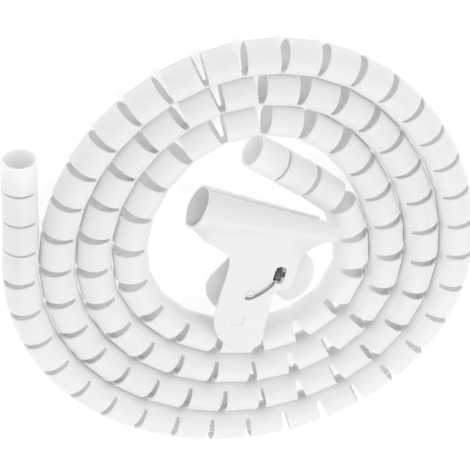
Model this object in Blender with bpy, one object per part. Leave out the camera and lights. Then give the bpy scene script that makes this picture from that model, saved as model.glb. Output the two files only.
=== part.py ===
# Slotted cable wrap: a slit plastic tube cut into rings that stay joined along one narrow spine, coiled
# flat in a spiral, with the two-lever feeding clip that comes with it lying on the coil. Metres, +Z up.
import math

import bmesh
import bpy
from mathutils import Matrix, Vector

MM = 0.001

# The tube and its rings.
TUBE_OUTER = 19.0 * MM
TUBE_WALL = 1.3 * MM
RING_COUNT = 103
RING_LENGTH = 17.54 * MM
RING_SLOT = 1.6 * MM
LONG_SLIT = 0.8 * MM
TUBE_SIDES = 12

# How far the clip's two levers reach from the barrel's axis.
TONGUE_REACH = 84.1 * MM
GRIP_REACH = 73.0 * MM
MOUTH_X, MOUTH_RADIUS = 42.0 * MM, 12.4 * MM

# The coil: each turn lies one strand further in than the last, on a slightly oval spiral. The hole is as
# wide as the clip is long, and the wrap is laid from its inner end outwards until its length is used up.
STRAND_GAP = 0.514 * MM
STRAND_PITCH = TUBE_OUTER + STRAND_GAP
HOLE_ROOM = 4.25 * MM
COIL_INNER_RADIUS = (TONGUE_REACH + MOUTH_RADIUS) / 2 + HOLE_ROOM
COIL_END = 23.2717
OVAL_TWO = (4.26 * MM, 1.5173)
OVAL_THREE = (1.909 * MM, 0.0968)
OUTER_TAIL = 0.6312
OUTER_TAIL_SPREAD = 72.5 * MM
INNER_TAIL = 1.4
INNER_TAIL_DIP = 9.2 * MM
COIL_CENTRE = (-6.69 * MM, -4.135 * MM)

# The clip, in its own frame: X from the nose to the mouth of the barrel, Y towards the grips, Z out of
# the front lever.
CLIP_PLACE = (COIL_CENTRE[0] - 11.3 * MM, COIL_CENTRE[1] - 16.9 * MM, TUBE_OUTER + 1.05 * MM)
CLIP_YAW, CLIP_PITCH, CLIP_ROLL = math.radians(-31.3), math.radians(10.4), math.radians(-1.6)
NOSE_X, NOSE_RADIUS = -39.5 * MM, 5.6 * MM
BARREL_WALL = 1.2 * MM
BARREL_SIDES = 24
BARREL_SPLIT = 0.3 * MM
REAR_NOSE_X = -29.0 * MM
PLATE = 2.4 * MM
PLATE_LOW = 3.5 * MM
HINGE_Y = 33.0 * MM
PIN_RADIUS = 1.5 * MM
PIN_FROM_X, PIN_TO_X = -23.4 * MM, 9.5 * MM
PIN_PLAY = 0.05 * MM
EAR_RADIUS = 3.2 * MM
FRONT_TILT = math.radians(-2.6)
REAR_TILT = math.radians(-15.2)
SPRING_X = -16.4 * MM
SPRING_RADIUS = 3.9 * MM
SPRING_WIRE = 0.65 * MM
SPRING_TURNS = 3
SPRING_RISE = 1.5 * MM
SPRING_REAR_ARM = (8.0 * MM, -2.2 * MM)
SPRING_ARM_SIDE = 14.0 * MM
SPRING_ARM_REACH = 18.6 * MM


def clear_scene():
    for old in list(bpy.data.objects):
        bpy.data.objects.remove(old, do_unlink=True)


def material(name, colour, metal, rough):
    mat = bpy.data.materials.new(name)
    mat.use_nodes = True
    shader = mat.node_tree.nodes["Principled BSDF"]
    shader.inputs["Base Color"].default_value = (*colour, 1.0)
    shader.inputs["Metallic"].default_value = metal
    shader.inputs["Roughness"].default_value = rough
    return mat


def add_object(name, bm, mat=None):
    bmesh.ops.recalc_face_normals(bm, faces=bm.faces)
    mesh = bpy.data.meshes.new(name)
    bm.to_mesh(mesh)
    bm.free()
    obj = bpy.data.objects.new(name, mesh)
    bpy.context.scene.collection.objects.link(obj)
    if mat:
        mesh.materials.append(mat)
    return obj


def boolean(obj, other, operation):
    cut = obj.modifiers.new("join", "BOOLEAN")
    cut.operation = operation
    cut.solver = "EXACT"
    cut.object = other
    graph = bpy.context.evaluated_depsgraph_get()
    graph.update()
    mesh = bpy.data.meshes.new_from_object(obj.evaluated_get(graph))
    obj.modifiers.clear()
    old = obj.data
    obj.data = mesh
    bpy.data.meshes.remove(old)
    bpy.data.objects.remove(other, do_unlink=True)


# The spiral.
def outer_tail_from():
    """The turn at which the outer loose end starts to swing out, from the wrap's whole length."""
    spine_radius = COIL_INNER_RADIUS - (TUBE_OUTER - TUBE_WALL) / 2
    growth = STRAND_PITCH / (2 * math.pi)
    length = RING_COUNT * (RING_LENGTH + RING_SLOT)
    turned = (math.sqrt(spine_radius ** 2 + 2 * growth * length) - spine_radius) / growth
    return COIL_END - turned + OUTER_TAIL


OUTER_TAIL_FROM = outer_tail_from()


def coil_radius(turn):
    radius = COIL_INNER_RADIUS + STRAND_PITCH * (COIL_END - turn) / (2 * math.pi)
    radius += OVAL_TWO[0] * math.cos(2 * (turn - OVAL_TWO[1]))
    radius += OVAL_THREE[0] * math.cos(3 * (turn - OVAL_THREE[1]))
    if turn < OUTER_TAIL_FROM:
        radius += OUTER_TAIL_SPREAD * (OUTER_TAIL_FROM - turn) ** 2
    into_tail = 1.0 + (turn - COIL_END) / INNER_TAIL
    if into_tail > 0:
        radius -= INNER_TAIL_DIP * 6.75 * into_tail ** 2 * (1.0 - into_tail)
    return radius


def coil_point(turn):
    radius = coil_radius(turn)
    return Vector((COIL_CENTRE[0] + radius * math.cos(turn), COIL_CENTRE[1] + radius * math.sin(turn), 0.0))


def coil_heading(turn):
    return (coil_point(turn + 1e-4) - coil_point(turn - 1e-4)).normalized()


def ring_places():
    """Where each ring sits, outer end first: spine points spaced evenly along the coil's inner side."""
    spine_offset = (TUBE_OUTER - TUBE_WALL) / 2
    step = 0.0005
    pitch = RING_LENGTH + RING_SLOT
    places = []
    turn = COIL_END
    travelled = 0.0
    wanted = pitch / 2
    last = None
    while len(places) < RING_COUNT:
        along = coil_heading(turn)
        inward = Vector((-along.y, along.x, 0.0))
        spine = coil_point(turn) + inward * spine_offset
        if last is not None:
            travelled += (spine - last).length
        last = spine
        if travelled >= wanted:
            centre = spine - inward * spine_offset + Vector((0.0, 0.0, TUBE_OUTER / 2))
            places.append(Matrix((
                (along.x, inward.x, 0.0, centre.x),
                (along.y, inward.y, 0.0, centre.y),
                (along.z, inward.z, 1.0, centre.z),
                (0.0, 0.0, 0.0, 1.0),
            )))
            wanted += pitch
        turn -= step
    places.reverse()
    return places


def one_ring():
    """A straight ring about the X axis, open along its slit at 195 degrees from the inward side."""
    to_corner = 1.0 / math.cos(math.pi / TUBE_SIDES)
    outer = TUBE_OUTER / 2 * to_corner
    inner = (TUBE_OUTER / 2 - TUBE_WALL) * to_corner
    slit_angle = math.radians(195.0)
    toward = Vector((0.0, math.cos(slit_angle), math.sin(slit_angle)))
    bm = bmesh.new()
    corners = []
    for x, radius in ((-RING_LENGTH / 2, inner), (RING_LENGTH / 2, inner),
                      (RING_LENGTH / 2, outer), (-RING_LENGTH / 2, outer)):
        corners.append(bm.verts.new(toward * radius + Vector((x, 0.0, 0.0))))
    face = bm.faces.new(corners)
    done = bmesh.ops.spin(
        bm, geom=[face], angle=2 * math.pi, steps=TUBE_SIDES, axis=(1.0, 0.0, 0.0), cent=(0.0, 0.0, 0.0),
        use_merge=False,
    )
    last = [v for v in done["geom_last"] if isinstance(v, bmesh.types.BMVert)]
    half_side = math.pi / TUBE_SIDES
    for verts, side in ((corners, 1.0), (last, -1.0)):
        tilt = slit_angle + side * half_side
        along = Vector((0.0, -math.sin(tilt), math.cos(tilt))) * side
        for v in verts:
            v.co += along * LONG_SLIT / 2
    bmesh.ops.recalc_face_normals(bm, faces=bm.faces)
    mesh = bpy.data.meshes.new("one_ring")
    bm.to_mesh(mesh)
    bm.free()
    return mesh


def make_wrap(mat):
    ring = one_ring()
    ends = {-1: [], 1: []}
    for face in ring.polygons:
        if abs(abs(face.normal.x) - 1.0) < 1e-4:
            angle = math.degrees(math.atan2(face.center.z, face.center.y))
            if -15.0 < angle < 45.0:
                ends[1 if face.center.x > 0 else -1].append(face.index)
    bm = bmesh.new()
    patches = []
    for place in ring_places():
        first_vert, first_face = len(bm.verts), len(bm.faces)
        bm.from_mesh(ring)
        bm.verts.ensure_lookup_table()
        bm.faces.ensure_lookup_table()
        bmesh.ops.transform(bm, matrix=place, verts=bm.verts[first_vert:])
        patches.append({side: [bm.faces[first_face + i] for i in found] for side, found in ends.items()})
    bpy.data.meshes.remove(ring)
    gone = []
    loops = []
    for here, there in zip(patches, patches[1:]):
        rims = []
        for faces in (here[1], there[-1]):
            edges = [e for f in faces for e in f.edges]
            rims += [e for e in edges if edges.count(e) == 1]
            gone += faces
        loops.append(rims)
    bmesh.ops.delete(bm, geom=gone, context="FACES")
    for rims in loops:
        bmesh.ops.bridge_loops(bm, edges=rims)
    return add_object("wrap", bm, mat)


# The clip.
def clip_matrix():
    return (
        Matrix.Translation(CLIP_PLACE) @ Matrix.Rotation(CLIP_YAW, 4, "Z")
        @ Matrix.Rotation(CLIP_PITCH, 4, "Y") @ Matrix.Rotation(CLIP_ROLL, 4, "X")
    )


def frustum(from_x, to_x, from_radius, to_radius, sides):
    bm = bmesh.new()
    bmesh.ops.create_cone(
        bm, cap_ends=True, segments=sides, radius1=from_radius, radius2=to_radius, depth=to_x - from_x,
    )
    turn = Matrix.Translation(((from_x + to_x) / 2, 0.0, 0.0)) @ Matrix.Rotation(math.pi / 2, 4, "Y")
    bmesh.ops.transform(bm, matrix=turn @ Matrix.Rotation(math.pi / sides, 4, "Z"), verts=bm.verts)
    return bm


def barrel_radius(x):
    return NOSE_RADIUS + (MOUTH_RADIUS - NOSE_RADIUS) * (x - NOSE_X) / (MOUTH_X - NOSE_X)


def cut_away(bm, point, normal):
    """Removes what lies on the normal's side of a plane, and closes the cut."""
    geom = bm.verts[:] + bm.edges[:] + bm.faces[:]
    cut = bmesh.ops.bisect_plane(bm, geom=geom, plane_co=point, plane_no=normal, clear_outer=True)
    rim = [e for e in cut["geom_cut"] if isinstance(e, bmesh.types.BMEdge)]
    bmesh.ops.contextual_create(bm, geom=rim)


def half_barrel(name, side, nose_x):
    """One half of the tapered barrel: side 1 is the front half, -1 the rear."""
    bm = frustum(NOSE_X, MOUTH_X, NOSE_RADIUS, MOUTH_RADIUS, BARREL_SIDES)
    cut_away(bm, (0.0, 0.0, side * BARREL_SPLIT), (0.0, 0.0, -side))
    cut_away(bm, (36.8 * MM, 0.0, 0.0), (0.967, -0.255, 0.0))
    cut_away(bm, (nose_x, 3.0 * MM, 0.0), (-0.72, -0.69, 0.0))
    cut_away(bm, (nose_x, 3.0 * MM, 0.0), (-0.85, 0.52, 0.0))
    return add_object(name, bm)


def plate(outline, low, high, tilt, reach=None):
    """A flat plate of the given outline between two heights, tilted about the hinge line. Its part past the
    hinge is drawn out to the reach."""
    bm = bmesh.new()
    stretch = 1.0
    if reach:
        stretch = (reach - HINGE_Y) / (max(y for x, y in outline) * MM - HINGE_Y)
    corners = []
    for x, y in outline:
        past = y * MM - HINGE_Y
        if past > 0:
            past *= stretch
        corners.append(bm.verts.new((x * MM, HINGE_Y + past, low)))
    face = bm.faces.new(corners)
    grown = bmesh.ops.extrude_face_region(bm, geom=[face])
    up = [v for v in grown["geom"] if isinstance(v, bmesh.types.BMVert)]
    bmesh.ops.translate(bm, verts=up, vec=(0.0, 0.0, high - low))
    about = Matrix.Translation((0.0, HINGE_Y, 0.0))
    bmesh.ops.transform(bm, matrix=about @ Matrix.Rotation(tilt, 4, "X") @ about.inverted(), verts=bm.verts)
    return add_object("plate", bm)


def block(low, high):
    bm = bmesh.new()
    bmesh.ops.create_cube(bm, size=1.0)
    size = [b - a for a, b in zip(low, high)]
    middle = [(a + b) / 2 for a, b in zip(low, high)]
    bmesh.ops.transform(bm, matrix=Matrix.Translation(middle) @ Matrix.Diagonal((*size, 1.0)), verts=bm.verts)
    return add_object("block", bm)


def hinge_cylinder(from_x, to_x, radius, sides=16):
    bm = frustum(from_x, to_x, radius, radius, sides)
    bmesh.ops.translate(bm, verts=bm.verts, vec=(0.0, HINGE_Y, 0.0))
    return add_object("cylinder", bm)


def ear(obj, from_x, to_x, side):
    """A lug round the pin, joined to its plate."""
    boolean(obj, hinge_cylinder(from_x, to_x, EAR_RADIUS), "UNION")
    low, high = sorted((0.0, side * (PLATE_LOW + PLATE / 2)))
    boolean(obj, block((from_x, HINGE_Y - 2.6 * MM, low), (to_x, HINGE_Y + 2.6 * MM, high)), "UNION")


FRONT_OUTLINE = (
    (36.0, 6.0), (37.0, 13.2), (31.0, 16.8), (22.0, 20.6), (14.4, 23.6), (12.4, 30.0), (11.4, 40.0),
    (11.8, 48.1), (11.4, 64.8), (9.3, 72.1), (4.8, 78.8), (-0.4, 81.8), (-5.0, 83.6), (-8.7, 84.1),
    (-13.7, 82.2), (-16.9, 78.4), (-17.7, 74.2), (-16.4, 62.0), (-16.0, 54.1), (-15.6, 44.0),
    (-19.0, 39.6), (-22.6, 37.0), (-22.8, 28.0), (-22.6, 19.0), (-25.4, 15.6), (-33.0, 10.0), (-33.0, 4.0),
)
REAR_OUTLINE = (
    (34.0, 6.0), (34.0, 13.2), (26.0, 18.0), (16.0, 22.0), (12.0, 26.5), (11.2, 31.0), (11.4, 36.5),
    (-34.6, 36.5), (-34.8, 30.0), (-33.0, 25.0), (-30.0, 21.5), (-26.4, 19.0), (-26.0, 14.0), (-26.0, 4.0),
)
GRIP_OUTLINE = (
    (11.2, 31.5), (14.3, 39.0), (17.3, 48.8), (17.6, 56.1), (14.8, 63.8), (10.6, 69.1), (6.0, 72.2),
    (1.0, 73.0), (-4.0, 70.2), (-7.2, 62.0), (-9.8, 53.8), (-13.0, 49.2), (-18.5, 50.6), (-22.0, 53.3),
    (-25.6, 56.4), (-30.0, 54.4), (-34.2, 46.2), (-35.2, 37.4), (-34.6, 31.5),
)


def make_clip_front(mat):
    obj = half_barrel("clip_front", 1, NOSE_X)
    boolean(obj, plate(FRONT_OUTLINE, PLATE_LOW, PLATE_LOW + PLATE, FRONT_TILT, TONGUE_REACH), "UNION")
    ear(obj, 4.8 * MM, 8.0 * MM, 1)
    ear(obj, -22.6 * MM, -20.8 * MM, 1)
    bore(obj)
    boolean(obj, block((-20.6 * MM, 27.6 * MM, 1.0 * MM), (-12.4 * MM, 38.8 * MM, 9.0 * MM)), "DIFFERENCE")
    pin_hole(obj)
    obj.data.materials.clear()
    obj.data.materials.append(mat)
    return obj


def bore(obj):
    wall = BARREL_WALL
    inner = frustum(NOSE_X - 2 * MM, MOUTH_X + 2 * MM, barrel_radius(NOSE_X - 2 * MM) - wall,
                    barrel_radius(MOUTH_X + 2 * MM) - wall, BARREL_SIDES)
    boolean(obj, add_object("bore", inner), "DIFFERENCE")


def pin_hole(obj):
    """The hole has a little more than the pin's radius at the middle of each of its flats."""
    radius = (PIN_RADIUS + PIN_PLAY) / math.cos(math.pi / 16)
    boolean(obj, hinge_cylinder(PIN_FROM_X - 3 * PIN_RADIUS, PIN_TO_X + 3 * PIN_RADIUS, radius), "DIFFERENCE")


def make_clip_rear(mat):
    obj = half_barrel("clip_rear", -1, REAR_NOSE_X)
    boolean(obj, plate(REAR_OUTLINE, -PLATE_LOW - PLATE - 0.6 * MM, -PLATE_LOW - 0.6 * MM, 0.0), "UNION")
    grip = plate(GRIP_OUTLINE, -PLATE_LOW - PLATE - 0.7 * MM, -PLATE_LOW - 0.7 * MM, REAR_TILT, GRIP_REACH)
    boolean(obj, grip, "UNION")
    ear(obj, 1.2 * MM, 4.4 * MM, -1)
    ear(obj, -12.0 * MM, -9.0 * MM, -1)
    bore(obj)
    boolean(obj, hinge_cylinder(-20.6 * MM, -12.4 * MM, SPRING_RADIUS + SPRING_WIRE + 0.6 * MM), "DIFFERENCE")
    pin_hole(obj)
    obj.data.materials.clear()
    obj.data.materials.append(mat)
    return obj


def make_pin(mat):
    obj = hinge_cylinder(PIN_FROM_X, PIN_TO_X, PIN_RADIUS)
    obj.name = "clip_pin"
    obj.data.materials.append(mat)
    return obj


def make_spring(mat):
    """Three close turns round the pin. One arm lies on the front lever, the other is cut short below."""
    path = []
    per_turn = 12
    total = SPRING_TURNS * per_turn
    for i in range(total + 1):
        angle = math.radians(-50.0) + 2 * math.pi * i / per_turn
        x = SPRING_X + SPRING_RISE * (i / per_turn - SPRING_TURNS / 2)
        path.append((x, HINGE_Y + SPRING_RADIUS * math.cos(angle), SPRING_RADIUS * math.sin(angle)))
    lay = PLATE_LOW + PLATE + 1.4 * SPRING_WIRE
    first = (path[0][0], HINGE_Y + SPRING_REAR_ARM[0], SPRING_REAR_ARM[1])
    arm = []
    bends = ((0.2, 0.3, 1.6), (0.29, 0.54, 0.0), (0.53, 0.765, 0.0), (0.79, 0.947, 0.0), (1.0, 1.0, 0.0))
    for side, reach, lift in bends:
        past = SPRING_ARM_REACH * reach
        height = lay + lift * SPRING_WIRE + past * math.tan(FRONT_TILT)
        arm.append((SPRING_X + SPRING_ARM_SIDE * side, HINGE_Y + past, height))
    points = [first] + path + arm
    curve = bpy.data.curves.new("spring", "CURVE")
    curve.dimensions = "3D"
    curve.bevel_depth = SPRING_WIRE
    curve.bevel_resolution = 1
    curve.resolution_u = 1
    curve.use_fill_caps = True
    spline = curve.splines.new("POLY")
    spline.points.add(len(points) - 1)
    for spot, co in zip(spline.points, points):
        spot.co = (*co, 1.0)
    wire = bpy.data.objects.new("wire", curve)
    bpy.context.scene.collection.objects.link(wire)
    graph = bpy.context.evaluated_depsgraph_get()
    graph.update()
    mesh = bpy.data.meshes.new_from_object(wire.evaluated_get(graph))
    bpy.data.objects.remove(wire, do_unlink=True)
    bm = bmesh.new()
    bm.from_mesh(mesh)
    bpy.data.meshes.remove(mesh)
    bmesh.ops.remove_doubles(bm, verts=bm.verts, dist=1e-6)
    return add_object("clip_spring", bm, mat)


def main():
    clear_scene()
    wrap_white = material("wrap_white", (0.87, 0.88, 0.89), 0.0, 0.4)
    clip_white = material("clip_white", (0.86, 0.87, 0.88), 0.0, 0.3)
    steel = material("steel", (0.45, 0.45, 0.46), 1.0, 0.35)
    make_wrap(wrap_white)
    pieces = [make_clip_front(clip_white), make_clip_rear(clip_white), make_pin(steel), make_spring(steel)]
    place = clip_matrix()
    for obj in pieces:
        obj.data.transform(place)
        obj.data.update()


main()
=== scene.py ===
import math

import bmesh
import bpy
from mathutils import Matrix, Vector


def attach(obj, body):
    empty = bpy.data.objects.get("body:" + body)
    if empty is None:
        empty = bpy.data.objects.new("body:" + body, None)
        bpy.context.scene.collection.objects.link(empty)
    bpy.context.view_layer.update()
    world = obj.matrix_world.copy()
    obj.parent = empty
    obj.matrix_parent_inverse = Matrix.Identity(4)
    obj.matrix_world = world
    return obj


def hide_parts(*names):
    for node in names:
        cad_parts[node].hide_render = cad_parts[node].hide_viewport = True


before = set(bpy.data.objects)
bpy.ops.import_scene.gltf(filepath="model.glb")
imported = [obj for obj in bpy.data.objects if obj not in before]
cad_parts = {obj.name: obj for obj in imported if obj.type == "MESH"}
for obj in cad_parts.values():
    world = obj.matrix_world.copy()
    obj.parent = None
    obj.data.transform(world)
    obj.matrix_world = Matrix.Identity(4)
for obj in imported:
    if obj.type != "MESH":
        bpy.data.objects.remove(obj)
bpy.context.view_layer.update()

MM = 0.001


def mm(*sizes):
    return tuple(size * MM for size in sizes)


# ------------------------------------------------ the wrap's tube, in the solids' sizes
TUBE_OUTER = 19.0 * MM
TUBE_WALL = 1.3 * MM
RING_COUNT = 103
RING_LENGTH = 17.54 * MM
RING_SLOT = 1.6 * MM
RING_STEPS = 48
CUT_EDGE = 0.22 * MM
DRAWN_STEP = 1.09  # how far the drawn lines move on from ring to ring, in ring lengths
# Angles round the tube start on the inner side of the coil's bend and go up over the top.
LONG_SLIT = 0.8 * MM
SLIT_ANGLE = math.radians(195.0)
SPINE_FROM, SPINE_TO = -13.0, 43.0  # degrees

# ------------------------------------------------ how it is coiled
# A place along the coil is its turn about the coil's middle, in radians, from the outer end on.
STRAND_PITCH = 19.514 * MM
COIL_CENTRE = (-6.69 * MM, -4.135 * MM)
COIL_INNER_RADIUS = 52.5 * MM
COIL_END = 23.2717
# The coil is a little out of round: how far, and at which turn it is widest.
OVAL_TWO = (4.26 * MM, 1.5173)
OVAL_THREE = (1.909 * MM, 0.0968)
# The outer end swings out. The inner end dips into the hole and comes back.
OUTER_TAIL_FROM = -0.3448
OUTER_TAIL_SPREAD = 72.5 * MM
INNER_TAIL = 1.4
INNER_TAIL_DIP = 9.2 * MM
DIP_PEAK = 6.75  # t * t * (1 - t) times this is 1 at its highest
HEADING_STEP = 1e-4
WALK_STEP = 0.0005

# ------------------------------------------------ the clip
# In the clip's own frame X runs along the barrel to its mouth, Y out to the tongue and Z up.
CLIP_PLACE = (-17.99 * MM, -21.035 * MM, 20.05 * MM)
CLIP_TURN = (math.radians(-31.3), math.radians(10.4), math.radians(-1.6))
MOUTH_X, MOUTH_RADIUS = 42.0 * MM, 12.4 * MM
NOSE_X, NOSE_RADIUS = -38.4 * MM, 5.7 * MM
REAR_NOSE_X = -29.0 * MM
HINGE_Y = 33.0 * MM
SHELL_WALL = 1.3 * MM
PIN_ROOM = 1.56 * MM
EAR_RADIUS = 3.2 * MM

FRONT_TOP, FRONT_FALL, FRONT_BEND = 7.0 * MM, math.tan(math.radians(2.6)), 0.0
REAR_TOP, REAR_FALL, REAR_BEND = 5.2 * MM, -math.tan(math.radians(15.2)), 4 * MM
PLATE_LOW = 0.3 * MM
MOUTH_FADE = mm(27, 38)
NOSE_FADE = mm(12, 30)
TWIST_ROOM = 15 * MM

LEVER_CELL = 1.4 * MM
BLANK_LOW, BLANK_HIGH = (-0.046, -0.024), (0.048, 0.098)
BLANK_ROUNDS = 1.2 * MM
CORNER_REACH = 3.2 * MM
CORNER_PASSES = 6
PARTING = 0.3 * MM
MOUTH_CUT_AT, MOUTH_CUT_WAY = (36.8 * MM, 0.0, 0.0), (0.955, -0.252, 0.11)
NOSE_ROUND = 10 * MM
NOSE_ROUND_Y = -0.6 * MM
EASED_EDGE = 0.16 * MM
WELD = 1e-6
KNIFE = 1e-7

SPRING_X = -15.4 * MM
SPRING_RADIUS = 3.5 * MM
SPRING_WIRE = 0.52 * MM
SPRING_TURNS = 3
SPRING_RISE = 1.2 * MM
SPRING_START = math.radians(-50.0)
TURN_STEPS = 32
ARM_TOP = 6.55 * MM

# The levers' outlines in millimetres, as they lie once pressed. What the photograph shows of them
# was measured there. The barrel's half starts past the parting line, so that it can be trimmed.
FRONT_BLANK = (
    (46.0, -23.0), (46.0, 13.0), (40.3, 13.0), (35.6, 14.3), (31.0, 15.6), (26.0, 17.7),
    (22.5, 19.2), (17.5, 21.4), (14.6, 22.8), (13.3, 25.0), (12.2, 30.0), (11.6, 38.0),
    (11.8, 48.1), (11.5, 57.8), (11.3, 64.8), (9.3, 72.1), (4.8, 78.8), (-0.4, 81.8),
    (-5.4, 83.6), (-8.9, 83.9), (-13.7, 82.2), (-16.9, 78.4), (-17.7, 74.2), (-16.4, 62.0),
    (-16.0, 54.1), (-15.4, 44.0), (-16.6, 40.4), (-19.0, 38.4), (-22.6, 37.0), (-23.2, 28.0),
    (-22.6, 20.0), (-24.2, 14.6), (-27.3, 12.4), (-34.0, 8.0), (-37.4, 5.0), (-44.0, 4.6),
    (-44.0, -10.0),
)
REAR_BLANK = (
    (46.0, -23.0), (46.0, 13.4), (40.0, 13.2), (34.0, 15.0), (26.0, 18.0), (16.0, 22.0),
    (12.2, 25.4), (11.2, 30.4), (14.3, 39.0), (17.3, 48.8), (17.6, 56.1), (14.8, 63.8),
    (10.6, 69.1), (6.0, 72.2), (1.0, 73.0), (-4.0, 70.2), (-7.2, 62.0), (-9.8, 53.8),
    (-12.6, 49.0), (-15.6, 48.4), (-18.5, 50.6), (-22.0, 53.3), (-25.6, 56.3), (-30.0, 54.4),
    (-34.2, 46.2), (-35.2, 37.4), (-35.0, 31.0), (-33.6, 26.4), (-31.4, 23.0), (-28.5, 20.6),
    (-25.4, 18.4), (-26.4, 12.0), (-29.0, 8.4), (-33.0, 4.0), (-33.0, -12.0),
)
SPRING_ARM = (
    (-13.3, 35.3), (-12.6, 37.0), (-11.4, 39.4), (-8.6, 43.4), (-5.6, 46.6), (-3.2, 48.2),
    (-1.4, 48.3),
)
FRONT_EARS = (mm(4.8, 8.0), mm(-22.6, -20.8))
REAR_EARS = (mm(1.2, 4.4), mm(-12.0, -9.0))
SPRING_WINDOW = (mm(-18.0, 23.8, -1), mm(-12.4, 35.2, 12))
TONGUE_RECESS = (mm(-5.0, 60.4, 3.95), mm(1.4, 67.4, 9.0))
MOULDED_RING = mm(-3.6, 45.0)

# ------------------------------------------------ the camera, worked out from the photograph
CAMERA_AIM = Vector((-0.04 * MM, -2.03 * MM, 0.0))
CAMERA_TO = Vector((0.0, -0.634348, 0.773048))
CAMERA_RIGHT = Vector((-0.936087, 0.271934, 0.223143))
CAMERA_UP = Vector((-0.351768, -0.723640, -0.593805))
CAMERA_DISTANCE = 3.0633
CAMERA_LENS = 445.46

# ------------------------------------------------ light and finishes
LAMPS = (  # name, place, size in metres and power in watts
    ("overhead", (0.1, 0.55, 0.8), 0.7, 1.5),
    ("window", (-0.6, -0.2, 0.7), 0.6, 0.4),
)
ROOM_LIGHT = 0.89
FLOOR_REACH = 2.5
FLOOR_TONE, FLOOR_GLOW = 0.35, 0.7

WRAP_TINTS = ((0.89, 0.895, 0.90), (0.93, 0.935, 0.94))
# The clip's tints are set darker than the tube's white: painted shade in the clip's base colour.
CLIP_PAINTED_SHADE_TINTS = ((0.79, 0.795, 0.80), (0.83, 0.835, 0.84))
STEEL_TINTS = ((0.20, 0.20, 0.21), (0.42, 0.42, 0.43))
PLASTIC_IOR = 1.49


# ------------------------------------------------ the camera, the light and the floor
def set_camera():
    camera = bpy.data.cameras.new("camera")
    camera.sensor_width = 36.0
    camera.sensor_fit = "HORIZONTAL"
    camera.lens = CAMERA_LENS
    camera.clip_start = 0.01
    eye = bpy.data.objects.new("camera", camera)
    bpy.context.scene.collection.objects.link(eye)
    turn = Matrix((CAMERA_RIGHT, CAMERA_UP, CAMERA_TO)).transposed().to_4x4()
    eye.matrix_world = Matrix.Translation(CAMERA_AIM + CAMERA_TO * CAMERA_DISTANCE) @ turn
    bpy.context.scene.camera = eye


def soft_light(name, place, size, power):
    """A square lamp that looks at the middle of the floor."""
    lamp = bpy.data.lights.new(name, "AREA")
    lamp.shape = "SQUARE"
    lamp.size = size
    lamp.energy = power
    obj = bpy.data.objects.new(name, lamp)
    bpy.context.scene.collection.objects.link(obj)
    turn = (-Vector(place)).to_track_quat("-Z", "Y").to_matrix().to_4x4()
    obj.matrix_world = Matrix.Translation(place) @ turn


def set_stage():
    scene = bpy.context.scene
    world = bpy.data.worlds.new("room")
    scene.world = world
    world.use_nodes = True
    back = world.node_tree.nodes["Background"]
    back.inputs["Color"].default_value = (1.0, 1.0, 1.0, 1.0)
    back.inputs["Strength"].default_value = ROOM_LIGHT
    for lamp in LAMPS:
        soft_light(*lamp)
    bm = bmesh.new()
    bmesh.ops.create_grid(bm, x_segments=1, y_segments=1, size=FLOOR_REACH)
    floor = finish_piece("floor", bm, floor_white(), 35.0)
    scene.view_settings.view_transform = "Standard"
    scene.view_settings.look = "None"
    scene.view_settings.exposure = 0.0


# ------------------------------------------------ materials
def new_material(name):
    mat = bpy.data.materials.new(name)
    mat.use_nodes = True
    return mat, mat.node_tree.nodes, mat.node_tree.links, mat.node_tree.nodes["Principled BSDF"]


def noise_value(nodes, links, vector, scale, detail):
    cloud = nodes.new("ShaderNodeTexNoise")
    cloud.inputs["Scale"].default_value = scale
    cloud.inputs["Detail"].default_value = detail
    links.new(vector, cloud.inputs["Vector"])
    return cloud.outputs["Fac"]


def drift_colour(nodes, links, shader, value, tints):
    mix = nodes.new("ShaderNodeMix")
    mix.data_type = "RGBA"
    for name, tint in zip("AB", tints):
        mix.inputs[name].default_value = (*tint, 1.0)
    links.new(value, mix.inputs["Factor"])
    links.new(mix.outputs["Result"], shader.inputs["Base Color"])


def drift_roughness(nodes, links, shader, value, low, high):
    span = nodes.new("ShaderNodeMapRange")
    span.inputs["To Min"].default_value = low
    span.inputs["To Max"].default_value = high
    links.new(value, span.inputs["Value"])
    links.new(span.outputs["Result"], shader.inputs["Roughness"])


def raise_grain(nodes, links, shader, height, strength, distance):
    bump = nodes.new("ShaderNodeBump")
    bump.inputs["Strength"].default_value = strength
    bump.inputs["Distance"].default_value = distance
    links.new(height, bump.inputs["Height"])
    links.new(bump.outputs["Normal"], shader.inputs["Normal"])


def let_light_in(shader, weight, depth):
    """Milky plastic: light goes in, spreads and comes out nearby."""
    shader.inputs["Subsurface Weight"].default_value = weight
    shader.inputs["Subsurface Radius"].default_value = (1.0, 1.0, 1.0)
    shader.inputs["Subsurface Scale"].default_value = depth
    shader.inputs["IOR"].default_value = PLASTIC_IOR


def floor_white():
    mat, _, _, shader = new_material("floor_white")
    shader.inputs["Base Color"].default_value = (FLOOR_TONE, FLOOR_TONE, FLOOR_TONE, 1.0)
    shader.inputs["Roughness"].default_value = 0.8
    shader.inputs["Emission Color"].default_value = (1.0, 1.0, 1.0, 1.0)
    shader.inputs["Emission Strength"].default_value = FLOOR_GLOW
    return mat


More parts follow.
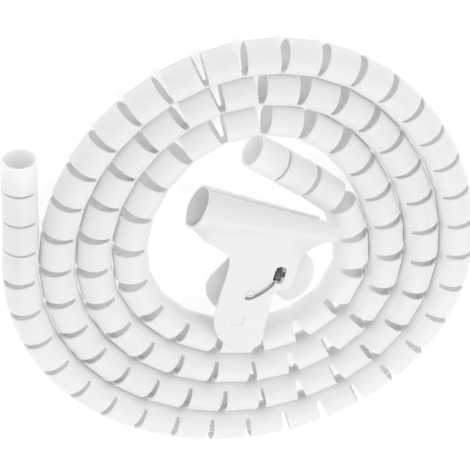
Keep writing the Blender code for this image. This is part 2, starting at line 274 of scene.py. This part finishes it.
def wrap_plastic():
    """White polypropylene tube: faint lines drawn along it, waxy, a little light let through."""
    mat, nodes, links, shader = new_material("wrap_plastic")
    place = nodes.new("ShaderNodeTexCoord").outputs["Object"]
    around = nodes.new("ShaderNodeAttribute")
    around.attribute_name = "tube_way"
    lines = nodes.new("ShaderNodeVectorMath")
    lines.operation = "MULTIPLY"
    lines.inputs[1].default_value = (0.6, 26.0, 1.0)
    links.new(around.outputs["Vector"], lines.inputs[0])
    drawn = noise_value(nodes, links, lines.outputs["Vector"], 3.0, 3.0)
    cloud = noise_value(nodes, links, place, 45.0, 2.0)
    drift_colour(nodes, links, shader, cloud, WRAP_TINTS)
    drift_roughness(nodes, links, shader, drawn, 0.34, 0.5)
    grain = noise_value(nodes, links, place, 1800.0, 2.0)
    height = nodes.new("ShaderNodeMath")
    height.operation = "MULTIPLY_ADD"
    height.inputs[1].default_value = 0.25
    links.new(grain, height.inputs[0])
    links.new(drawn, height.inputs[2])
    raise_grain(nodes, links, shader, height.outputs["Value"], 0.35, 0.06 * MM)
    let_light_in(shader, 0.9, 4 * MM)
    return mat


def clip_plastic():
    """White moulded polypropylene, smoother and glossier than the tube, with a fine grain. Its base
    colour is set darker than the tube's white: painted shade, with a random drift of tone.
    """
    mat, nodes, links, shader = new_material("clip_plastic")
    place = nodes.new("ShaderNodeTexCoord").outputs["Object"]
    cloud = noise_value(nodes, links, place, 60.0, 3.0)
    drift_colour(nodes, links, shader, cloud, CLIP_PAINTED_SHADE_TINTS)
    drift_roughness(nodes, links, shader, cloud, 0.26, 0.38)
    grain = noise_value(nodes, links, place, 1400.0, 2.0)
    raise_grain(nodes, links, shader, grain, 0.2, 0.04 * MM)
    let_light_in(shader, 0.25, 1 * MM)
    return mat


def spring_steel():
    """Dark drawn wire."""
    mat, nodes, links, shader = new_material("spring_steel")
    place = nodes.new("ShaderNodeTexCoord").outputs["Object"]
    cloud = noise_value(nodes, links, place, 900.0, 3.0)
    drift_colour(nodes, links, shader, cloud, STEEL_TINTS)
    drift_roughness(nodes, links, shader, cloud, 0.25, 0.45)
    shader.inputs["Metallic"].default_value = 1.0
    return mat


# ------------------------------------------------ shared making
def place_object(name, data):
    obj = bpy.data.objects.new(name, data)
    bpy.context.scene.collection.objects.link(obj)
    return obj


def bare_object(name, bm):
    mesh = bpy.data.meshes.new(name)
    bm.to_mesh(mesh)
    bm.free()
    return place_object(name, mesh)


def finish_piece(name, bm, mat, smooth):
    """Edges that turn by less than the given degrees are shaded smooth."""
    obj = bare_object(name, bm)
    obj.data.materials.append(mat)
    obj.data.shade_smooth()
    obj.data.set_sharp_from_angle(angle=math.radians(smooth))
    return obj


def settled_mesh(obj):
    """The object's mesh as its modifiers or its curve leave it."""
    graph = bpy.context.evaluated_depsgraph_get()
    graph.update()
    return bpy.data.meshes.new_from_object(obj.evaluated_get(graph))


def settle(obj):
    mesh = settled_mesh(obj)
    obj.modifiers.clear()
    obj.data = mesh


# ------------------------------------------------ the wrap
def coil_radius(turn):
    radius = COIL_INNER_RADIUS + STRAND_PITCH * (COIL_END - turn) / (2 * math.pi)
    radius += OVAL_TWO[0] * math.cos(2 * (turn - OVAL_TWO[1]))
    radius += OVAL_THREE[0] * math.cos(3 * (turn - OVAL_THREE[1]))
    if turn < OUTER_TAIL_FROM:
        radius += OUTER_TAIL_SPREAD * (OUTER_TAIL_FROM - turn) ** 2
    into_tail = 1.0 + (turn - COIL_END) / INNER_TAIL
    if into_tail > 0:
        radius -= INNER_TAIL_DIP * DIP_PEAK * into_tail ** 2 * (1.0 - into_tail)
    return radius


def coil_point(turn):
    radius = coil_radius(turn)
    x = COIL_CENTRE[0] + radius * math.cos(turn)
    return Vector((x, COIL_CENTRE[1] + radius * math.sin(turn), 0.0))


def coil_heading(turn):
    return (coil_point(turn + HEADING_STEP) - coil_point(turn - HEADING_STEP)).normalized()


def ring_places():
    """Each ring's place, outer end first. The rings are laid from the inner end on, and their spine
    points are spaced evenly along the coil's inner side."""
    spine_offset = (TUBE_OUTER - TUBE_WALL) / 2
    pitch = RING_LENGTH + RING_SLOT
    places = []
    turn, travelled, wanted, last = COIL_END, 0.0, pitch / 2, None
    while len(places) < RING_COUNT:
        along = coil_heading(turn)
        inward = Vector((-along.y, along.x, 0.0))
        spine = coil_point(turn) + inward * spine_offset
        if last is not None:
            travelled += (spine - last).length
        last = spine
        if travelled >= wanted:
            centre = spine - inward * spine_offset + Vector((0.0, 0.0, TUBE_OUTER / 2))
            turned = Matrix((along, inward, Vector((0.0, 0.0, 1.0)))).transposed().to_4x4()
            places.append(Matrix.Translation(centre) @ turned)
            wanted += pitch
        turn -= WALK_STEP
    places.reverse()
    return places


def plain_ring():
    """One straight ring about the X axis, open along its slit on the outer side of the bend."""
    inner, outer = TUBE_OUTER / 2 - TUBE_WALL, TUBE_OUTER / 2
    half_slit = LONG_SLIT / TUBE_OUTER
    bm = bmesh.new()
    corners = []
    for x, radius in ((-0.5, inner), (0.5, inner), (0.5, outer), (-0.5, outer)):
        corners.append(bm.verts.new((x * RING_LENGTH, radius, 0.0)))
    wall = bm.faces.new(corners)
    to_slit = Matrix.Rotation(SLIT_ANGLE + half_slit, 3, "X")
    bmesh.ops.rotate(bm, verts=corners, cent=(0, 0, 0), matrix=to_slit)
    bmesh.ops.spin(
        bm, geom=[wall], angle=2 * math.pi - 2 * half_slit, steps=RING_STEPS,
        axis=(1.0, 0.0, 0.0), cent=(0.0, 0.0, 0.0), use_merge=False,
    )
    bmesh.ops.recalc_face_normals(bm, faces=bm.faces)
    mesh = bpy.data.meshes.new("plain_ring")
    bm.to_mesh(mesh)
    bm.free()
    return mesh


def spine_faces(ring):
    """The faces of a ring's two ends that the spine joins, as numbers in its mesh."""
    ends = {-1: [], 1: []}
    for face in ring.polygons:
        if abs(abs(face.normal.x) - 1.0) < 1e-4:
            angle = math.degrees(math.atan2(face.center.z, face.center.y))
            if SPINE_FROM < angle < SPINE_TO:
                ends[1 if face.center.x > 0 else -1].append(face.index)
    return ends


def join_rings(bm, patches):
    """Opens the rings' ends where the spine is, and bridges each pair across its slot."""
    gone, loops = [], []
    for here, there in zip(patches, patches[1:]):
        rims = []
        for faces in (here[1], there[-1]):
            edges = [e for f in faces for e in f.edges]
            rims += [e for e in edges if edges.count(e) == 1]
            gone += faces
        loops.append(rims)
    bmesh.ops.delete(bm, geom=gone, context="FACES")
    for rims in loops:
        bmesh.ops.bridge_loops(bm, edges=rims)


def mark_tube_way(mesh, places):
    """Gives each point its way along and round the tube, which the drawn lines follow."""
    back = [place.inverted() for place in places]
    way = mesh.attributes.new("tube_way", "FLOAT_VECTOR", "POINT")
    rings = mesh.attributes["ring"].data
    for v, numbered, out in zip(mesh.vertices, rings, way.data):
        number = min(max(numbered.value, 0), RING_COUNT - 1)
        there = back[number] @ v.co
        around = math.atan2(there.z, there.y) / (2 * math.pi)
        out.vector = (there.x / RING_LENGTH + number * DRAWN_STEP, around, 0.0)


def make_wrap(mat):
    ring = plain_ring()
    ends = spine_faces(ring)
    places = ring_places()
    bm = bmesh.new()
    owner = bm.verts.layers.int.new("ring")
    patches = []
    for number, place in enumerate(places):
        first_vert, first_face = len(bm.verts), len(bm.faces)
        bm.from_mesh(ring)
        bm.verts.ensure_lookup_table()
        bm.faces.ensure_lookup_table()
        added = bm.verts[first_vert:]
        bmesh.ops.transform(bm, matrix=place, verts=added)
        for v in added:
            v[owner] = number
        patches.append({
            side: [bm.faces[first_face + i] for i in found] for side, found in ends.items()
        })
    bpy.data.meshes.remove(ring)
    join_rings(bm, patches)
    bmesh.ops.recalc_face_normals(bm, faces=bm.faces)
    turned = math.radians(40.0)
    sharp = [e for e in bm.edges if len(e.link_faces) == 2 and e.calc_face_angle(0.0) > turned]
    bmesh.ops.bevel(
        bm, geom=sharp, offset=CUT_EDGE, offset_type="OFFSET", affect="EDGES", segments=2,
        profile=0.5, material=-1, clamp_overlap=True,
    )
    obj = finish_piece("wrap_tube", bm, mat, 50.0)
    mark_tube_way(obj.data, places)
    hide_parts("wrap")
    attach(obj, "coil")


# ------------------------------------------------ how a lever is pressed from its flat blank
def clip_matrix():
    yaw, pitch, roll = CLIP_TURN
    return (
        Matrix.Translation(CLIP_PLACE) @ Matrix.Rotation(yaw, 4, "Z")
        @ Matrix.Rotation(pitch, 4, "Y") @ Matrix.Rotation(roll, 4, "X")
    )


def barrel_radius(x):
    return NOSE_RADIUS + (MOUTH_RADIUS - NOSE_RADIUS) * (x - NOSE_X) / (MOUTH_X - NOSE_X)


def soft_step(value, low, high):
    t = min(max((value - low) / (high - low), 0.0), 1.0)
    return t * t * (3 - 2 * t)


def plate_height(x, top):
    """How high a lever's plate leaves the barrel: level between, down at the mouth and the nose."""
    level = (1 - soft_step(x, *MOUTH_FADE)) * (1 - soft_step(-x, *NOSE_FADE))
    return PLATE_LOW + (top - PLATE_LOW) * level


def leave_point(x, top):
    """Where the sheet leaves the barrel at x: how far out, and the length of sheet round to it."""
    radius = barrel_radius(x)
    side = math.sqrt(max(radius * radius - plate_height(x, top) ** 2, 1e-12))
    return side, radius * math.asin(min(side / radius, 1.0))


def flat_of(x, y, top):
    """The place on the flat blank that ends up at (x, y) once it is pressed."""
    side, length = leave_point(x, top)
    if y > side:
        return length + y - side
    return barrel_radius(x) * math.asin(y / barrel_radius(x))


def press(x, v, top, fall, bend):
    """Where a point of the flat blank lies once it is pressed round the barrel and out into the
    plate. The plate falls away from the barrel on, or from the hinge on with a bend that soft."""
    radius = barrel_radius(x)
    side, length = leave_point(x, top)
    if v <= length:
        return Vector((x, radius * math.sin(v / radius), radius * math.cos(v / radius)))
    y = v - length + side
    past = y - HINGE_Y
    eased = 0.5 * (past + math.sqrt(past * past + bend * bend)) if bend else y - side
    rise = (top - plate_height(x, top)) * soft_step(y - side, 0.0, TWIST_ROOM)
    return Vector((x, y, plate_height(x, top) + rise - fall * eased))


def blank_sheet(outline, top):
    """The flat blank of a lever, its corners eased, from the outline that it has once pressed."""
    bm = bmesh.new()
    corners = []
    for x, y in outline:
        flat = flat_of(x * MM, y * MM, top) if y > 0 else y * MM
        corners.append(bm.verts.new((x * MM, flat, 0.0)))
    bm.faces.new(corners)
    bmesh.ops.bevel(
        bm, geom=corners, offset=BLANK_ROUNDS, offset_type="OFFSET", affect="VERTICES", segments=3,
        profile=0.5, material=-1, clamp_overlap=True,
    )
    return bm


def lay_grid(bm):
    """Cuts the blank into even cells, so that it can take a curve."""
    for axis in (0, 1):
        low, high = BLANK_LOW[axis], BLANK_HIGH[axis]
        count = int((high - low) / LEVER_CELL)
        for i in range(1, count):
            point, normal = [0.0] * 3, [0.0] * 3
            point[axis], normal[axis] = low + (high - low) * i / count, 1.0
            bmesh.ops.bisect_plane(
                bm, geom=bm.verts[:] + bm.edges[:] + bm.faces[:], plane_co=point,
                plane_no=normal, dist=KNIFE,
            )


def trim(bm, point, normal, within):
    """Cuts off what lies past a plane, of the faces whose middles are within a region."""
    faces = [f for f in bm.faces if within(f.calc_center_median())]
    edges = list(dict.fromkeys(e for f in faces for e in f.edges))
    verts = list(dict.fromkeys(v for f in faces for v in f.verts))
    bmesh.ops.bisect_plane(
        bm, geom=verts + edges + faces, plane_co=point, plane_no=normal, clear_outer=True,
        dist=KNIFE,
    )


def shell(name, blank, side, top, fall, bend, nose_x):
    """A lever: its blank is pressed to shape, trimmed at parting line, mouth and nose, and given
    its wall. Side is 1 for the front lever, above, and -1 for the rear one, below."""
    bm = blank_sheet(blank, top)
    lay_grid(bm)
    for v in bm.verts:
        spot = press(v.co.x, v.co.y, top, fall, bend)
        v.co = Vector((spot.x, spot.y, spot.z * side))
    corner = [
        v for v in bm.verts
        if not v.is_boundary and abs(v.co.y - leave_point(v.co.x, top)[0]) < CORNER_REACH
    ]
    for _ in range(CORNER_PASSES):
        bmesh.ops.smooth_vert(
            bm, verts=corner, factor=0.5, use_axis_x=False, use_axis_y=True, use_axis_z=True,
        )
    trim(bm, (0.0, 0.0, side * PARTING), (0.0, 0.0, -side), lambda c: c.y < 0)
    trim(bm, MOUTH_CUT_AT, MOUTH_CUT_WAY, lambda c: c.x > 30 * MM)
    middle = Vector((nose_x + NOSE_ROUND, NOSE_ROUND_Y, 0.0))
    for step in range(-4, 3):
        way = math.radians(15.0 * step)
        out = Vector((-math.cos(way), math.sin(way), 0.0))
        trim(bm, middle + out * NOSE_ROUND, out, lambda c: c.x < -20 * MM and c.y < 9 * MM)
    bmesh.ops.remove_doubles(bm, verts=bm.verts, dist=WELD)
    bmesh.ops.recalc_face_normals(bm, faces=bm.faces)
    over = Vector((0.0, 0.0, side * 10 * MM))
    crown = min(bm.faces, key=lambda f: (f.calc_center_median() - over).length)
    if crown.normal.z * side < 0:
        bmesh.ops.reverse_faces(bm, faces=bm.faces)
    bmesh.ops.solidify(bm, geom=bm.faces, thickness=SHELL_WALL)
    bmesh.ops.recalc_face_normals(bm, faces=bm.faces)
    return bare_object(name, bm)


# ------------------------------------------------ tools that cut into a lever or are added to it
def carve(obj, cutter, operation="DIFFERENCE"):
    cut = obj.modifiers.new("carve", "BOOLEAN")
    cut.operation = operation
    cut.solver = "EXACT"
    cut.object = cutter
    settle(obj)
    bpy.data.objects.remove(cutter, do_unlink=True)


def round_bar(name, radius, length, sides, place):
    bm = bmesh.new()
    bmesh.ops.create_cone(
        bm, cap_ends=True, segments=sides, radius1=radius, radius2=radius, depth=length,
        matrix=place,
    )
    bmesh.ops.recalc_face_normals(bm, faces=bm.faces)
    return bare_object(name, bm)


def rod(from_x, to_x, radius):
    """A round bar on the hinge's line."""
    place = Matrix.Translation(((from_x + to_x) / 2, HINGE_Y, 0.0))
    place = place @ Matrix.Rotation(math.pi / 2, 4, "Y")
    return round_bar("rod", radius, to_x - from_x, 32, place)


def disc(x, y, low, high, radius):
    place = Matrix.Translation((x, y, (low + high) / 2))
    return round_bar("disc", radius, high - low, 40, place)


def soft_block(low, high, rounds):
    """A block whose upright edges are rounded."""
    bm = bmesh.new()
    bmesh.ops.create_cube(bm, size=1.0)
    size = [b - a for a, b in zip(low, high)]
    middle = [(a + b) / 2 for a, b in zip(low, high)]
    place = Matrix.Translation(middle) @ Matrix.Diagonal((*size, 1.0))
    bmesh.ops.transform(bm, matrix=place, verts=bm.verts)
    edges = [
        e for e in bm.edges if abs((e.verts[0].co - e.verts[1].co).normalized().z) > 0.9
    ]
    bmesh.ops.bevel(
        bm, geom=edges, offset=rounds, offset_type="OFFSET", affect="EDGES", segments=4,
        profile=0.5, material=-1,
    )
    bmesh.ops.recalc_face_normals(bm, faces=bm.faces)
    return bare_object("block", bm)


def ear(obj, from_x, to_x, side):
    """A lug round the pin, with a neck up to the lever's plate."""
    half_neck = 2.7 * MM
    low, high = sorted((0.0, side * 5.2 * MM))
    lug = rod(from_x, to_x, EAR_RADIUS)
    neck = soft_block(
        (from_x, HINGE_Y - half_neck, low), (to_x, HINGE_Y + half_neck, high), 0.2 * MM,
    )
    carve(lug, neck, "UNION")
    carve(obj, lug, "UNION")


def dress_lever(obj, name, node, body, mat):
    """Clears the slivers that carving leaves, eases the edges and lays the lever in its place."""
    bm = bmesh.new()
    bm.from_mesh(obj.data)
    bmesh.ops.remove_doubles(bm, verts=bm.verts, dist=0.12 * MM)
    bmesh.ops.dissolve_degenerate(bm, edges=bm.edges, dist=0.05 * MM)
    bmesh.ops.holes_fill(bm, edges=[e for e in bm.edges if e.is_boundary], sides=8)
    bm.to_mesh(obj.data)
    bm.free()
    ease = obj.modifiers.new("ease", "BEVEL")
    ease.width = EASED_EDGE
    ease.use_clamp_overlap = False
    ease.segments = 2
    ease.limit_method = "ANGLE"
    ease.angle_limit = math.radians(50.0)
    settle(obj)
    mesh = obj.data
    mesh.transform(clip_matrix())
    mesh.materials.clear()
    mesh.materials.append(mat)
    mesh.shade_smooth()
    mesh.set_sharp_from_angle(angle=math.radians(40.0))
    obj.name = name
    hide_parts(node)
    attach(obj, body)


# ------------------------------------------------ the spring
def eased_route(knots, steps):
    """Points on a soft curve through the knots, the first one left out."""
    route = []
    ends = zip(knots[:1] + knots, knots, knots[1:], knots[2:] + knots[-1:])
    for before, start, end, after in ends:
        for i in range(1, steps + 1):
            t = i / steps
            pull = 2 * before - 5 * start + 4 * end - after
            twist = 3 * start - before - 3 * end + after
            route.append(0.5 * (2 * start + (end - before) * t + pull * t ** 2 + twist * t ** 3))
    return route


def spring_route():
    """A short rear arm, the turns round the pin, and the arm that lies on the front lever."""
    route = [Vector((SPRING_X - 2.4 * MM, HINGE_Y + 7.2 * MM, -2.2 * MM))]
    for i in range(SPRING_TURNS * TURN_STEPS + 1):
        angle = SPRING_START + 2 * math.pi * i / TURN_STEPS
        x = SPRING_X + SPRING_RISE * (i / TURN_STEPS - SPRING_TURNS / 2)
        y = HINGE_Y + SPRING_RADIUS * math.cos(angle)
        route.append(Vector((x, y, SPRING_RADIUS * math.sin(angle))))
    knots = [route[-1]]
    for x, y in SPRING_ARM:
        knots.append(Vector((x * MM, y * MM, ARM_TOP - FRONT_FALL * (y * MM - HINGE_Y))))
    return route + eased_route(knots, 6)


def make_spring(steel):
    """Dark wire wound three times round the pin. One arm lies curved on the front lever."""
    route = spring_route()
    curve = bpy.data.curves.new("wire", "CURVE")
    curve.dimensions = "3D"
    curve.bevel_depth = SPRING_WIRE
    curve.bevel_resolution = 3
    curve.use_fill_caps = True
    spline = curve.splines.new("POLY")
    spline.points.add(len(route) - 1)
    for spot, co in zip(spline.points, route):
        spot.co = (*co, 1.0)
    wire = place_object("wire", curve)
    mesh = settled_mesh(wire)
    bpy.data.objects.remove(wire, do_unlink=True)
    bm = bmesh.new()
    bm.from_mesh(mesh)
    bpy.data.meshes.remove(mesh)
    bmesh.ops.transform(bm, matrix=clip_matrix(), verts=bm.verts)
    obj = finish_piece("clip_spring_wire", bm, steel, 50.0)
    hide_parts("clip_spring")
    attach(obj, "coil")


# ------------------------------------------------ the clip put together
def make_front(mat):
    front = shell("front", FRONT_BLANK, 1, FRONT_TOP, FRONT_FALL, FRONT_BEND, NOSE_X)
    for from_x, to_x in FRONT_EARS:
        ear(front, from_x, to_x, 1)
    carve(front, rod(-30 * MM, 14 * MM, PIN_ROOM))
    carve(front, soft_block(*SPRING_WINDOW, 2.6 * MM))
    carve(front, disc(*MOULDED_RING, 4.4 * MM, 5.7 * MM, 2.1 * MM), "UNION")
    carve(front, disc(*MOULDED_RING, 5.15 * MM, 7.0 * MM, 1.3 * MM))
    carve(front, soft_block(*TONGUE_RECESS, 1.0 * MM))
    dress_lever(front, "clip_front_lever", "clip_front", "coil", mat)


def make_rear(mat):
    rear = shell("rear", REAR_BLANK, -1, REAR_TOP, REAR_FALL, REAR_BEND, REAR_NOSE_X)
    for from_x, to_x in REAR_EARS:
        ear(rear, from_x, to_x, -1)
    carve(rear, rod(-30 * MM, 20 * MM, PIN_ROOM))
    dress_lever(rear, "clip_rear_lever", "clip_rear", "rear_lever", mat)


def make_clip(mat, steel):
    make_front(mat)
    make_rear(mat)
    make_spring(steel)
    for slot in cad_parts["clip_pin"].material_slots:
        slot.material = steel


set_camera()
set_stage()
make_wrap(wrap_plastic())
make_clip(clip_plastic(), spring_steel())
